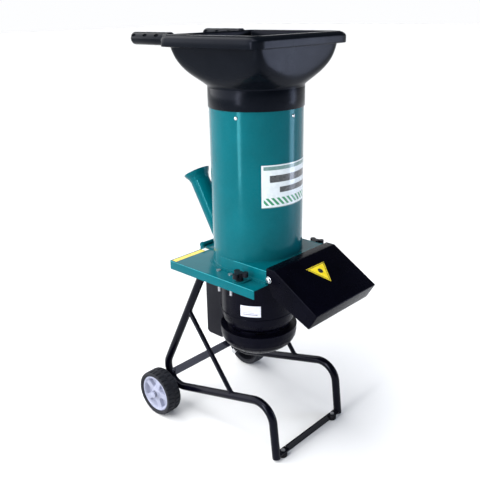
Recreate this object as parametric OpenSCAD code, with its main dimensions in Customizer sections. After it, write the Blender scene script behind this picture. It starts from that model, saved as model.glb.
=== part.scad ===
// Upright organic waste and branch chipper.
// Square hopper on a steel tower, slanted branch pipe, side discharge with a hinged
// deflector, vertical motor under a steel deck, bent tube frame with two wheels.
// Millimetres. +Z up, +X towards the discharge, tower axis on X = Y = 0, floor at Z = 0.

/* [Frame] */
// Outside radius of the frame tubes
tube_r = 12.7; // [10:0.1:16]
// Wall of the frame tubes
tube_wall = 1.5; // [1:0.1:3]
// Distance from the middle plane to each side frame
frame_y = 157; // [140:1:170]
// Bend radius under the deck
bend_top_r = 50; // [40:1:70]
// Bend radius at the wheels and at the front
bend_low_r = 60; // [50:1:70]
// Radius of the diagonal braces
brace_r = 7.5; // [5:0.5:10]
// Height of the middle of the front bar
bar_z = 15.7; // [14:0.1:20]
// Distance from the middle plane to each rubber foot
foot_y = 126; // [100:1:130]
// Radius of a rubber foot
foot_r = 13.5; // [12:0.5:18]

/* [Wheels] */
// Wheel axle position along X
axle_x = -251; // [-260:0.1:-230]
// Outside radius of the tyre
tyre_r = 76; // [65:1:80]
// Outside radius of the plastic hub
hub_r = 62; // [50:1:66]
// Inner face of the tyre
tyre_y0 = 190; // [185:1:200]
// Outer face of the tyre
tyre_y1 = 246; // [235:1:255]
// Radius of the stub axle
axle_r = 6; // [5:0.5:8]
// Radial play between axle and hub
axle_play = 0.08; // [0.02:0.01:0.1]

/* [Deck] */
// Top surface of the deck
deck_z = 558; // [540:1:580]
// Rear edge of the deck
deck_x0 = -182; // [-190:1:-170]
// Front edge of the deck
deck_x1 = 163.5; // [155:0.5:175]
// Half width of the deck
deck_y = 200; // [190:1:210]
// Depth of the folded edge
deck_edge = 26; // [20:1:32]
// Sheet thickness of the deck
deck_t = 2; // [1.5:0.1:3]

/* [Tower] */
// Outside radius of the tower tube
tower_r = 135; // [125:1:145]
// Wall of the tower tube
tower_wall = 2; // [1.5:0.1:3]
// Top end of the tower tube
tower_top = 1020; // [980:1:1060]
// Outside radius of the tower base plate
flange_r = 148; // [144:1:150]
// Thickness of the tower base plate
flange_t = 3; // [2:0.1:4]
// Gap between deck and tower base plate
seat_gap = 0.3; // [0.3:0.05:0.5]
// Number of screws that hold the hopper
screw_count = 5; // [3:1:8]
// Height of the hopper screws
screw_z = 1003; // [990:1:1012]

/* [Tilting hinge] */
// Hinge axis position along X
hinge_x = -194; // [-198:1:-192]
// Hinge axis height
hinge_z = 566; // [564:0.5:568]
// Radius of the hinge pin
hinge_pin_r = 4; // [3:0.5:5]

/* [Hopper] */
// Rear edge of the hopper rim
rim_x0 = -187; // [-195:1:-175]
// Front edge of the hopper rim
rim_x1 = 177; // [170:1:195]
// Half width of the hopper rim
rim_y = 196; // [180:1:200]
// Top of the hopper rim
rim_top = 1217; // [1190:1:1240]
// Height of the turned down rim
rim_h = 32; // [25:1:40]
// Outside corner radius of the rim
rim_corner = 22; // [15:1:30]
// Outside radius of the round collar
collar_r = 137.5; // [136:0.5:140]
// Top of the round collar
collar_top = 1080; // [1070:1:1090]
// Radius of a handle grip
grip_r = 18; // [12:0.5:20]
// Distance from the middle plane to each grip
grip_y = 145; // [130:1:170]
// Rear end of the grips
grip_x = -348; // [-380:1:-320]

/* [Branch pipe] */
// Outside radius of the branch pipe
pipe_r = 31; // [28:1:40]
// Wall of the branch pipe
pipe_wall = 2; // [1.5:0.1:3]
// Lean of the branch pipe from vertical
pipe_lean = 30.5; // [25:0.5:40]
// Length of the branch pipe axis from deck level
pipe_len = 266; // [240:1:290]
// Outside radius of the flared mouth
mouth_r = 43; // [38:1:50]

/* [Discharge] */
// Half width of the discharge duct
duct_half = 138.6; // [138:0.1:139]
// Top of the discharge duct
duct_top = 594; // [588:1:598]
// Front end of the duct side walls
duct_x1 = 180; // [176:1:184]
// Sheet thickness of duct and deflector
sheet_t = 1.5; // [1:0.1:2]
// Half width of the deflector
defl_half = 141; // [140.5:0.1:143]
// Deflector pivot position along X
pivot_x = 166.5; // [164:0.1:170]
// Deflector pivot height
pivot_z = 572.4; // [568:0.1:576]
// Radius of a deflector pivot bolt
pivot_r = 4; // [3:0.5:5]

/* [Clamp knobs] */
// Knob position along X
knob_x = 88; // [80:1:95]
// Knob distance from the middle plane
knob_y = 176; // [170:1:180]
// Radius of the knob stud
stud_r = 4; // [3:0.5:5]

/* [Motor] */
// Outside radius of the motor cover
motor_r = 116.5; // [110:0.5:120]
// Lower end of the straight part of the motor cover
motor_seam_z = 390; // [380:1:400]
// Lower end of the motor cover
motor_low_z = 347; // [343:1:352]
// Radius of the motor shaft
shaft_r = 12.5; // [10:0.5:15]
// Radial play between shaft and bearings
shaft_play = 0.05; // [0.02:0.01:0.1]
// Outside radius of the stator
stator_r = 76; // [70:1:85]
// Lower end of the fan cover
fan_low_z = 256; // [250:1:262]
// Radius of the motor rotor
core_r = 40; // [35:1:45]

/* [Cutting rotor] */
// Radius of the rotor disc
disc_r = 122; // [110:1:126]
// Number of ejector paddles
paddle_count = 4; // [2:1:6]
// Underside of the knife bar
knife_z = 590; // [586:1:594]
// Width of the knife bar
knife_w = 44; // [36:1:50]

/* [Switch box] */
// Rear face of the switch box
box_x0 = -170; // [-174:1:-168]
// Inner wall of the switch box
box_x1 = -123; // [-126:1:-121]
// Half width of the switch box
box_y = 62; // [55:1:70]
// Underside of the switch box
box_z0 = 266; // [258:1:300]
// Travel of a push button
button_travel = 4; // [3:0.5:6]

/* [Hidden] */
$fn = 96;
eps = 0.01;
slim = 0.05;
lap = 1;
deck_low = deck_z - deck_t;
top_tube_z = deck_low - tube_r;
plate_z0 = deck_z + seat_gap;
plate_z1 = plate_z0 + flange_t;
tower_ri = tower_r - tower_wall;
duct_in = duct_half - sheet_t;
pipe_x0 = -127;
bar_x = 207;
tab_z = 14;
leg_end_z = 10;
ear_r = 19;
box_top = deck_low - 0.2;
grip_z = rim_top - 13.5;
shield_z = 352;
fan_z = fan_low_z + 34;
motor_bolt_r = 97;
frame_path = [[62, top_tube_z], [-76, top_tube_z], [-329, 51.5], [187.5, 192.4], [207.5, leg_end_z]];
frame_bends = [0, bend_top_r, bend_low_r, bend_low_r, 0];
bolt_x = [-14, 34];
brace_a = [-156.7, 387];
brace_b = [29.2, 149.2];
cross_pos = [-259, 115];

// ---- vector helpers for planar bent tubes ----
function unit2(v) = v / norm(v);
function ang2(v) = atan2(v[1], v[0]);
function turn2(a, b) = atan2(a[0] * b[1] - a[1] * b[0], a[0] * b[0] + a[1] * b[1]);
function dir_in(p, i) = unit2(p[i] - p[i - 1]);
function dir_out(p, i) = unit2(p[i + 1] - p[i]);
function trim_len(p, b, i) =
    (i == 0 || i == len(p) - 1) ? 0 : b[i] * tan(abs(turn2(dir_in(p, i), dir_out(p, i))) / 2);

// Round bar or tube along a planar path with bends; the straight lengths are a hair
// thinner and run a little way into each bend. Bore radius 0 makes it solid.
module path_bar(p, b, r, ri = 0, extra = 0) {
    n = len(p) - 1;
    for (i = [0 : n - 1]) {
        d = dir_out(p, i);
        a = p[i] + d * (trim_len(p, b, i) - (i == 0 ? extra : lap));
        c = p[i + 1] - d * (trim_len(p, b, i + 1) - (i == n - 1 ? extra : lap));
        translate([a[0], a[1], 0])
            rotate([0, 0, ang2(d)])
                rotate([0, 90, 0])
                    difference() {
                        cylinder(r = r - slim, h = norm(c - a));
                        if (ri > 0)
                            translate([0, 0, -1])
                                cylinder(r = ri + slim, h = norm(c - a) + 2);
                    }
    }
    if (n > 1)
        for (i = [1 : n - 1]) {
            din = dir_in(p, i);
            turn = turn2(din, dir_out(p, i));
            s = sign(turn);
            a = p[i] - din * trim_len(p, b, i);
            c = a + s * b[i] * [-din[1], din[0]];
            start = ang2(a - c);
            translate([c[0], c[1], 0])
                rotate([0, 0, s > 0 ? start : start + turn])
                    rotate_extrude(angle = abs(turn))
                        translate([b[i], 0])
                            difference() {
                                circle(r = r);
                                if (ri > 0)
                                    circle(r = ri);
                            }
        }
}

// Planar tube path stood up in the XZ plane at a given Y
module at_side(y) {
    translate([0, y, 0])
        rotate([90, 0, 0])
            children();
}

module both_sides() {
    children();
    mirror([0, 1, 0])
        children();
}

module y_cyl(x, y0, y1, z, r) {
    translate([x, y0, z])
        rotate([-90, 0, 0])
            cylinder(r = r, h = y1 - y0);
}

module x_cyl(x0, x1, y, z, r) {
    translate([x0, y, z])
        rotate([0, 90, 0])
            cylinder(r = r, h = x1 - x0);
}

module z_ring(z0, z1, ro, ri) {
    difference() {
        translate([0, 0, z0])
            cylinder(r = ro, h = z1 - z0);
        translate([0, 0, z0 - 1])
            cylinder(r = ri, h = z1 - z0 + 2);
    }
}

module rim_outline(inset) {
    r = rim_corner - inset;
    translate([rim_x0 + inset, -rim_y + rim_corner])
        square([rim_x1 - rim_x0 - 2 * inset, 2 * (rim_y - rim_corner)]);
    translate([rim_x0 + rim_corner, -rim_y + inset])
        square([rim_x1 - rim_x0 - 2 * rim_corner, 2 * (rim_y - inset)]);
    for (x = [rim_x0 + rim_corner, rim_x1 - rim_corner])
        for (y = [-rim_y + rim_corner, rim_y - rim_corner])
            translate([x, y])
                circle(r = r);
}

// ---- frame ----
module side_tube() {
    difference() {
        at_side(0)
            path_bar(frame_path, frame_bends, tube_r, tube_r - tube_wall);
        for (x = bolt_x)
            translate([x, 0, top_tube_z - 20])
                cylinder(r = 4.3, h = 40);
    }
}

module side_frame_right() {
    color([0.06, 0.06, 0.07])
        translate([0, -frame_y, 0])
            side_tube();
}

module side_frame_left() {
    color([0.06, 0.06, 0.07])
        translate([0, frame_y, 0])
            side_tube();
}

module braces() {
    color([0.06, 0.06, 0.07])
        for (y = [-frame_y, frame_y])
            difference() {
                at_side(y)
                    path_bar([brace_a, brace_b], [0, 0], brace_r);
                at_side(y)
                    path_bar(frame_path, frame_bends, tube_r + 0.1);
            }
}

// Flat bar on edge between the side frames
module rear_crossbar() {
    color([0.08, 0.08, 0.09])
        difference() {
            translate([cross_pos[0] - 2.5, -frame_y, cross_pos[1] - 15])
                cube([5, 2 * frame_y, 30]);
            for (y = [-frame_y, frame_y])
                at_side(y)
                    path_bar(frame_path, frame_bends, tube_r + 0.1);
            for (y = [-frame_y, frame_y])
                translate([cross_pos[0] - 30, y - (y > 0 ? 0 : 30), cross_pos[1] - 30])
                    cube([60, 30, 60]);
        }
}

// Flat bar on edge with a level tab at each end for the foot
module front_bar() {
    color([0.06, 0.06, 0.07])
        difference() {
            union() {
                translate([bar_x - 2.5, -foot_y + 14, bar_z - 12.5])
                    cube([5, 2 * (foot_y - 14), 25]);
                for (s = [0, 1])
                    mirror([0, s, 0]) {
                        translate([bar_x - 11, foot_y - 20, tab_z])
                            cube([22, frame_y - foot_y + 20, 4]);
                    }
            }
            for (y = [-frame_y, frame_y])
                at_side(y)
                    path_bar(frame_path, frame_bends, tube_r + 0.1, 0, 10);
            for (y = [-frame_y, frame_y])
                translate([bar_x - 30, y - (y > 0 ? 0 : 30), -10])
                    cube([60, 30, 60]);
            for (y = [-foot_y, foot_y])
                translate([bar_x, y, -5])
                    cylinder(r = 3.2, h = 50);
        }
}

module leg_plugs() {
    d = dir_in(frame_path, 4);
    color([0.03, 0.03, 0.03])
        for (y = [-frame_y, frame_y])
            translate([frame_path[4][0], y, frame_path[4][1]])
                rotate([0, 90 - ang2(d), 0]) {
                    translate([0, 0, 0.05])
                        cylinder(r = tube_r - 0.1, h = 1.6);
                    translate([0, 0, -14])
                        cylinder(r = tube_r - tube_wall - 0.05, h = 15);
                }
}

module rubber_feet() {
    color([0.03, 0.03, 0.03])
        for (y = [-foot_y, foot_y])
            difference() {
                union() {
                    translate([bar_x, y, 0])
                        cylinder(r = foot_r - 1.5, h = tab_z - 0.05);
                    translate([bar_x, y, 2])
                        cylinder(r = foot_r, h = tab_z - 4);
                }
                translate([bar_x, y, 1.5])
                    cylinder(r = 3.3, h = 30);
            }
}

module foot_bolts() {
    color([0.75, 0.76, 0.78])
        for (y = [-foot_y, foot_y]) {
            translate([bar_x, y, 1.8])
                cylinder(r = 3, h = tab_z + 3);
            translate([bar_x, y, tab_z + 4.02])
                cylinder(r = 6.5, h = 3.5);
        }
}

// ---- wheels ----
module axle_brackets() {
    color([0.06, 0.06, 0.07])
        both_sides()
            difference() {
                union() {
                    y_cyl(axle_x, frame_y - 5, frame_y + 5, tyre_r, 16);
                    translate([axle_x - 13, frame_y - 5, tyre_r])
                        cube([26, 10, 24]);
                    y_cyl(axle_x, frame_y + 5 - eps, tyre_y0 - 1, tyre_r, 9.5);
                }
                at_side(frame_y)
                    path_bar(frame_path, frame_bends, tube_r + 0.1);
                y_cyl(axle_x, frame_y - 10, tyre_y0 + 10, tyre_r, axle_r + 0.05);
            }
}

module stub_axles() {
    color([0.7, 0.71, 0.73])
        both_sides() {
            y_cyl(axle_x, frame_y - 15, tyre_y1 + 3, tyre_r, axle_r);
            y_cyl(axle_x, frame_y - 20, frame_y - 13.5, tyre_r, 9.5);
        }
}

module axle_caps() {
    color([0.1, 0.1, 0.11])
        both_sides()
            difference() {
                y_cyl(axle_x, tyre_y1 + 0.2, tyre_y1 + 4.5, tyre_r, 11);
                y_cyl(axle_x, tyre_y1 - 2, tyre_y1 + 3.1, tyre_r, axle_r + 0.05);
            }
}

// Wheel hub built around its own axis, outer face up
module hub_solid() {
    w = tyre_y1 - tyre_y0;
    difference() {
        union() {
            z_ring(4, w - 4, hub_r, hub_r - 4);
            z_ring(w - 9, w - 4, hub_r, hub_r - 8);
            cylinder(r = 14, h = w - 0.2);
            for (k = [0 : 4])
                rotate([0, 0, 72 * k + 18])
                    translate([10, -7, w - 16])
                        cube([hub_r - 13, 14, 9]);
            difference() {
                translate([0, 0, w - 24])
                    cylinder(r = hub_r - 2, h = 4);
                for (k = [0 : 4])
                    rotate([0, 0, 72 * k + 54])
                        translate([36, 0, w - 26])
                            cylinder(r = 11, h = 8);
            }
        }
        translate([0, 0, -1])
            cylinder(r = axle_r + axle_play, h = w + 2);
    }
}

// Tyre built around its own axis, with cross lugs in the tread
module tyre_solid() {
    w = tyre_y1 - tyre_y0;
    difference() {
        rotate_extrude()
            polygon([[hub_r + 0.05, 4], [tyre_r - 4, 0], [tyre_r - 1, 2.5], [tyre_r, 7],
                     [tyre_r, w - 7], [tyre_r - 1, w - 2.5], [tyre_r - 4, w], [hub_r + 0.05, w - 4]]);
        for (k = [0 : 29])
            rotate([0, 0, 12 * k]) {
                translate([tyre_r - 2.2, -1.6, -1])
                    cube([5, 3.2, 20]);
                rotate([0, 0, 6])
                    translate([tyre_r - 2.2, -1.6, w - 19])
                        cube([5, 3.2, 20]);
            }
        z_ring(w / 2 - 2, w / 2 + 2, tyre_r + 4, tyre_r - 2.2);
    }
}

module at_wheel(side) {
    translate([axle_x, side * tyre_y0, tyre_r])
        rotate([side > 0 ? -90 : 90, 0, 0])
            children();
}

module wheel_hub_right() {
    color([0.80, 0.80, 0.86])
        at_wheel(-1)
            hub_solid();
}

module wheel_hub_left() {
    color([0.80, 0.80, 0.86])
        at_wheel(1)
            hub_solid();
}

module tyre_right() {
    color([0.05, 0.05, 0.06])
        at_wheel(-1)
            tyre_solid();
}

module tyre_left() {
    color([0.05, 0.05, 0.06])
        at_wheel(1)
            tyre_solid();
}

// ---- deck ----
module deck() {
    color([0.0, 0.48, 0.50])
        difference() {
            translate([deck_x0, -deck_y, deck_z - deck_edge])
                cube([deck_x1 - deck_x0, 2 * deck_y, deck_edge]);
            translate([deck_x0 + deck_t, -deck_y + deck_t, deck_z - deck_edge - 1])
                cube([deck_x1 - deck_x0, 2 * (deck_y - deck_t), deck_edge - deck_t + 1]);
            translate([0, 0, deck_low - 5])
                cylinder(r = 28, h = 15);
            for (a = [45 : 90 : 315])
                rotate([0, 0, a])
                    translate([motor_bolt_r, 0, deck_low - 5])
                        cylinder(r = 4.3, h = 15);
            for (y = [-frame_y, frame_y])
                for (x = bolt_x)
                    translate([x, y, deck_low - 5])
                        cylinder(r = 4.3, h = 15);
            for (y = [-knob_y, knob_y])
                translate([knob_x, y, deck_low - 5])
                    cylinder(r = 5.6, h = 15);
        }
}

module deck_bolts() {
    color([0.78, 0.79, 0.81])
        for (y = [-frame_y, frame_y])
            for (x = bolt_x)
                translate([x, y, 0]) {
                    translate([0, 0, 492])
                        cylinder(r = 4, h = deck_z - 492 + 1);
                    translate([0, 0, deck_z])
                        cylinder(r = 6.8, h = 2.4);
                    translate([0, 0, top_tube_z - tube_r - 7])
                        cylinder(r = 7.5, h = 6.8, $fn = 6);
                }
}

module hinge_bracket() {
    color([0.0, 0.44, 0.46])
        difference() {
            union() {
                translate([deck_x0 - 2, -52, deck_z - 22])
                    cube([1.95, 104, 21]);
                for (y = [-52, 48]) {
                    translate([hinge_x, y, deck_z - 20])
                        cube([deck_x0 - 1 - hinge_x, 4, 20]);
                    y_cyl(hinge_x, y, y + 4, hinge_z, 9);
                    translate([hinge_x - 9, y, hinge_z - 18])
                        cube([18, 4, 18]);
                }
            }
            y_cyl(hinge_x, -60, 60, hinge_z, hinge_pin_r + 0.05);
        }
}

module hinge_pin() {
    color([0.7, 0.71, 0.73]) {
        y_cyl(hinge_x, -54, 54, hinge_z, hinge_pin_r);
        y_cyl(hinge_x, -56.5, -52.2, hinge_z, 6.5);
        y_cyl(hinge_x, 52.2, 56.5, hinge_z, 6.5);
    }
}

module clamp_nuts() {
    color([0.7, 0.71, 0.73])
        for (y = [-knob_y, knob_y])
            difference() {
                translate([knob_x, y, deck_low - 8])
                    cylinder(r = 9.5, h = 7.95, $fn = 6);
                translate([knob_x, y, deck_low - 10])
                    cylinder(r = 5.4, h = 20);
            }
}

module deck_label() {
    color([0.85, 0.72, 0.15])
        translate([deck_x0 + 3, -deck_y + 7, deck_z + 0.02])
            cube([18, 141, 0.25]);
}

// ---- upper housing ----
module pipe_frame() {
    translate([pipe_x0, 0, deck_z])
        rotate([0, -pipe_lean, 0])
            children();
}

module tower_tube() {
    color([0.0, 0.50, 0.53])
        difference() {
            z_ring(plate_z1 + 0.02, tower_top, tower_r, tower_ri);
            translate([0, -tower_r - 5, plate_z0 - 5])
                cube([tower_r + 10, 2 * tower_r + 10, duct_top - plate_z0 + 5]);
            pipe_frame()
                cylinder(r = pipe_r - pipe_wall, h = pipe_len);
            for (k = [0 : screw_count - 1])
                rotate([0, 0, 360 / screw_count * k])
                    x_cyl(tower_ri - 5, tower_r + 5, 0, screw_z, 2.7);
        }
}

module tower_flange() {
    color([0.0, 0.46, 0.49])
        difference() {
            union() {
                translate([0, 0, plate_z0])
                    linear_extrude(height = flange_t)
                        difference() {
                            union() {
                                circle(r = flange_r);
                                translate([0, -flange_r])
                                    square([158, 2 * flange_r]);
                                for (s = [-1, 1]) {
                                    translate([knob_x, s * knob_y])
                                        circle(r = ear_r);
                                    translate([knob_x - ear_r, s > 0 ? flange_r - 2 : -knob_y])
                                        square([2 * ear_r, knob_y - flange_r + 2]);
                                }
                                translate([hinge_x + 2, -46])
                                    square([60, 92]);
                            }
                            circle(r = tower_ri);
                            translate([0, -duct_in])
                                square([200, 2 * duct_in]);
                            for (s = [-1, 1])
                                translate([knob_x, s * knob_y])
                                    circle(r = stud_r + 0.4);
                        }
                y_cyl(hinge_x, -47.5, 47.5, hinge_z, 7);
            }
            y_cyl(hinge_x, -60, 60, hinge_z, hinge_pin_r + 0.08);
        }
}

module outlet_duct() {
    color([0.0, 0.47, 0.50])
        difference() {
            union() {
                for (s = [0, 1])
                    mirror([0, s, 0]) {
                        translate([-22, duct_in, plate_z1 + 0.02])
                            cube([duct_x1 + 22, sheet_t, duct_top - plate_z1 - 0.02]);
                        translate([-22, 128, plate_z1 + 0.02])
                            cube([2, duct_half - 128, duct_top - plate_z1 - 0.02]);
                    }
                translate([-22, -duct_half, duct_top - sheet_t])
                    cube([22 + 176, 2 * duct_half, sheet_t]);
            }
            translate([0, 0, plate_z0 - 5])
                cylinder(r = tower_r + 0.05, h = 80);
            y_cyl(pivot_x, -160, 160, pivot_z, pivot_r + 0.05);
        }
}

module branch_pipe() {
    flare = 30;
    color([0.0, 0.50, 0.53])
        difference() {
            pipe_frame()
                rotate_extrude()
                    polygon([[pipe_r - pipe_wall, -40], [pipe_r, -40], [pipe_r, pipe_len - flare],
                             [pipe_r + 3, pipe_len - flare * 0.6], [mouth_r - 3, pipe_len - 8],
                             [mouth_r, pipe_len], [mouth_r - 3, pipe_len],
                             [mouth_r - 6, pipe_len - 8], [pipe_r + 1, pipe_len - flare * 0.6],
                             [pipe_r - pipe_wall, pipe_len - flare]]);
            translate([0, 0, plate_z0 - 60])
                cylinder(r = tower_r + 0.05, h = 400);
            translate([-300, -100, plate_z0 - 60])
                cube([400, 200, 60 + flange_t + 0.02]);
        }
}

function bowl_r(i) = [137.5, 152.5, 171, 191, 208, 222.5, 239][i];
function bowl_b(i) = [137.5, 146, 152, 156.5, 160, 162.8, 166.2][i];
function bowl_z(i) = [0, 11, 23, 38, 56, 78, 135][i];
function bowl_shift(i) = -8 * bowl_z(i) / 135;
function bowl_widen(i) = 7 * bowl_z(i) / 135;

// Square bowl that runs out of a round neck
module bowl(inset, lift, low) {
    zz = collar_top + lift;
    rr = [for (i = [0 : 6]) [bowl_r(i) - inset, zz + bowl_z(i)]];
    front = [for (i = [0 : 6]) [bowl_b(i) - inset + bowl_shift(i), zz + bowl_z(i)]];
    rear = [for (i = [6 : -1 : 0]) [-bowl_b(i) + inset + bowl_shift(i), zz + bowl_z(i)]];
    left = [for (i = [0 : 6]) [bowl_b(i) - inset + bowl_widen(i), zz + bowl_z(i)]];
    right = [for (i = [6 : -1 : 0]) [-bowl_b(i) + inset - bowl_widen(i), zz + bowl_z(i)]];
    intersection() {
        rotate_extrude()
            polygon(concat([[0, low], [rr[0][0], low]], rr, [[0, rr[6][1]]]));
        rotate([90, 0, 0])
            linear_extrude(height = 600, center = true)
                polygon(concat([[front[0][0], low]], front, rear, [[rear[6][0], low]]));
        rotate([90, 0, 90])
            linear_extrude(height = 600, center = true)
                polygon(concat([[left[0][0], low]], left, right, [[right[6][0], low]]));
    }
}

module hopper() {
    color([0.07, 0.07, 0.09])
        difference() {
            union() {
                difference() {
                    union() {
                        bowl(0, 0, collar_top - 5);
                        translate([0, 0, tower_top + 0.3])
                            cylinder(r = collar_r + 0.02, h = collar_top - tower_top);
                        translate([0, 0, tower_top - 32])
                            cylinder(r = tower_ri - 0.25, h = 60);
                    }
                    bowl(3.6, 2, collar_top - 3);
                    translate([0, 0, tower_top - 40])
                        cylinder(r = tower_ri - 3.5, h = 120);
                }
                difference() {
                    translate([0, 0, rim_top - rim_h])
                        linear_extrude(height = rim_h)
                            rim_outline(0);
                    translate([0, 0, rim_top - rim_h - 1])
                        linear_extrude(height = rim_h - 3)
                            rim_outline(4);
                    translate([-170.2, -169.2, rim_top - rim_h - 5])
                        cube([324.4, 338.4, rim_h + 10]);
                }
            }
            for (k = [0 : screw_count - 1])
                rotate([0, 0, 360 / screw_count * k])
                    x_cyl(tower_ri - 15, tower_r + 5, 0, screw_z, 2.7);
        }
}

module handle_grips() {
    color([0.07, 0.07, 0.09])
        for (y = [-grip_y, grip_y])
            difference() {
                union() {
                    x_cyl(grip_x + 6, rim_x0 - 0.05, y, grip_z, grip_r);
                    x_cyl(rim_x0 - 14, rim_x0 - 0.05, y, grip_z, grip_r + 0.5);
                    translate([grip_x + 6, y, grip_z])
                        rotate([0, -90, 0])
                            rotate_extrude()
                                polygon([[0, -1], [grip_r, -1], [grip_r, 0], [grip_r - 0.8, 2.3],
                                         [grip_r - 2.8, 4.6], [grip_r - 6, 6], [0, 6]]);
                }
                for (x = [-333, -282, -231])
                    translate([x - 9, y - 20, grip_z + 5.5])
                        cube([18, 40, 8]);
                x_cyl(rim_x0 - 150, rim_x0 + 5, y, grip_z, 9);
            }
}

module tower_screws() {
    color([0.8, 0.81, 0.83])
        for (k = [0 : screw_count - 1])
            rotate([0, 0, 360 / screw_count * k]) {
                x_cyl(tower_ri - 6, tower_r + 0.5, 0, screw_z, 2.5);
                x_cyl(tower_r + 0.02, tower_r + 2.6, 0, screw_z, 4.8);
            }
}

module tower_label() {
    color([0.93, 0.94, 0.93])
        translate([0, 0, 753])
            rotate([0, 0, -43])
                rotate_extrude(angle = 86)
                    translate([tower_r + 0.02, 0])
                        square([0.5, 122]);
}

module counter_blade() {
    color([0.6, 0.6, 0.62])
        intersection() {
            rotate([0, 0, 140])
                translate([106, -16, knife_z + 9])
                    cube([40, 32, 6]);
            translate([0, 0, knife_z])
                cylinder(r = tower_ri - 0.15, h = 40);
        }
}

// ---- clamp knobs ----
module knob_solid() {
    z0 = plate_z1 + 0.3;
    difference() {
        union() {
            translate([0, 0, z0])
                cylinder(r = 11, h = 24);
            translate([0, 0, z0 + 11])
                linear_extrude(height = 13)
                    for (k = [0 : 2])
                        rotate([0, 0, 120 * k + 35]) {
                            translate([17, 0])
                                circle(r = 8.6);
                            translate([0, -6.5])
                                square([17, 13]);
                        }
        }
        translate([0, 0, z0 - 1])
            cylinder(r = stud_r + 0.05, h = 16);
    }
}

module stud_solid() {
    translate([0, 0, deck_z - 12])
        cylinder(r = stud_r, h = plate_z1 + 15 - deck_z + 12);
}

module star_knob_right() {
    color([0.03, 0.03, 0.035])
        translate([knob_x, -knob_y, 0])
            knob_solid();
}

module star_knob_left() {
    color([0.03, 0.03, 0.035])
        translate([knob_x, knob_y, 0])
            knob_solid();
}

module knob_stud_right() {
    color([0.75, 0.76, 0.78])
        translate([knob_x, -knob_y, 0])
            stud_solid();
}

module knob_stud_left() {
    color([0.75, 0.76, 0.78])
        translate([knob_x, knob_y, 0])
            stud_solid();
}

// ---- deflector ----
module deflector() {
    color([0.04, 0.04, 0.05])
        difference() {
            rotate([90, 0, 0])
                linear_extrude(height = 2 * defl_half, center = true)
                    polygon([[157, 604], [185.5, 604], [334, 513.5], [306.5, 467.5], [178.5, 527],
                             [164.7, 558.2], [157, 575.6]]);
            rotate([90, 0, 0])
                linear_extrude(height = 2 * (defl_half - sheet_t), center = true)
                    polygon([[140, 602.5], [185.1, 602.5], [331.9, 513], [304.4, 467],
                             [298, 450], [160, 500], [140, 540]]);
            y_cyl(pivot_x, -160, 160, pivot_z, pivot_r + 0.08);
        }
}

module deflector_bolts() {
    color([0.8, 0.81, 0.83])
        both_sides() {
            y_cyl(pivot_x, duct_in - 8, defl_half + 2, pivot_z, pivot_r);
            y_cyl(pivot_x, defl_half + 0.3, defl_half + 2, pivot_z, 10);
            y_cyl(pivot_x, defl_half + 2 - eps, defl_half + 6.5, pivot_z, 7.2);
            translate([pivot_x, duct_in - 7, pivot_z])
                rotate([-90, 0, 0])
                    cylinder(r = 7.5, h = 6.9, $fn = 6);
        }
}

module warning_label() {
    slope = atan2(604 - 513.5, 334 - 185.5);
    color([0.95, 0.80, 0.05])
        translate([185.5, 0, 604.02])
            rotate([0, slope, 0])
                translate([78, 6, 0])
                    linear_extrude(height = 0.5)
                        polygon([[-41, -45], [-41, 36], [24, -1]]);
}

// ---- cutting rotor ----
module rotor_disc() {
    color([0.42, 0.42, 0.44])
        difference() {
            union() {
                translate([0, 0, deck_z + 4.5])
                    cylinder(r = disc_r, h = 6);
                translate([0, 0, deck_z + 3])
                    cylinder(r = 26, h = knife_z - deck_z - 3);
            }
            translate([0, 0, deck_z - 5])
                cylinder(r = shaft_r + 0.03, h = 60);
        }
}

module paddles() {
    color([0.36, 0.36, 0.38])
        for (k = [0 : paddle_count - 1])
            rotate([0, 0, 360 / paddle_count * k + 20])
                translate([45, -2, deck_z + 10.52])
                    cube([disc_r - 47, 4, 17]);
}

module knife_bar() {
    color([0.65, 0.65, 0.67])
        difference() {
            translate([-120, -knife_w / 2, knife_z + 0.02])
                cube([240, knife_w, 5]);
            translate([0, 0, knife_z - 5])
                cylinder(r = 5.3, h = 20);
            for (k = [0, 1])
                rotate([0, 0, 180 * k])
                    translate([30, knife_w / 2, knife_z + 1.2])
                        rotate([-30, 0, 0])
                            translate([0, -10, 0])
                                cube([100, 30, 10]);
        }
}

module rotor_bolt() {
    color([0.5, 0.5, 0.52]) {
        translate([0, 0, knife_z - 18])
            cylinder(r = 5, h = 26);
        translate([0, 0, knife_z + 5.04])
            cylinder(r = 20, h = 3);
        translate([0, 0, knife_z + 8])
            cylinder(r = 11, h = 7, $fn = 6);
    }
}

module motor_shaft() {
    color([0.62, 0.62, 0.64])
        difference() {
            translate([0, 0, fan_z - 4])
                cylinder(r = shaft_r, h = knife_z - fan_z + 3.95);
            translate([0, 0, knife_z - 22])
                cylinder(r = 5.05, h = 30);
        }
}

module rotor_core() {
    color([0.5, 0.5, 0.52])
        z_ring(400, 500, core_r, shaft_r + 0.03);
}

module cooling_fan() {
    color([0.12, 0.12, 0.13])
        union() {
            z_ring(fan_z, fan_z + 30, 20, shaft_r + 0.03);
            z_ring(fan_z + 22, fan_z + 25, 96, 19);
            for (k = [0 : 7])
                rotate([0, 0, 45 * k])
                    translate([18, -1.5, fan_z + 1])
                        cube([72, 3, 21.5]);
        }
}

// ---- motor ----
module motor_flange() {
    color([0.55, 0.56, 0.58])
        difference() {
            union() {
                translate([0, 0, 544])
                    cylinder(r = 112, h = deck_low - 544.05);
                translate([0, 0, 524])
                    cylinder(r = 36, h = 22);
            }
            translate([0, 0, 500])
                cylinder(r = 26.05, h = 43);
            translate([0, 0, 500])
                cylinder(r = 15, h = 80);
            for (a = [45 : 90 : 315])
                rotate([0, 0, a])
                    translate([motor_bolt_r, 0, 540])
                        cylinder(r = 4.2, h = 30);
        }
}

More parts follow.
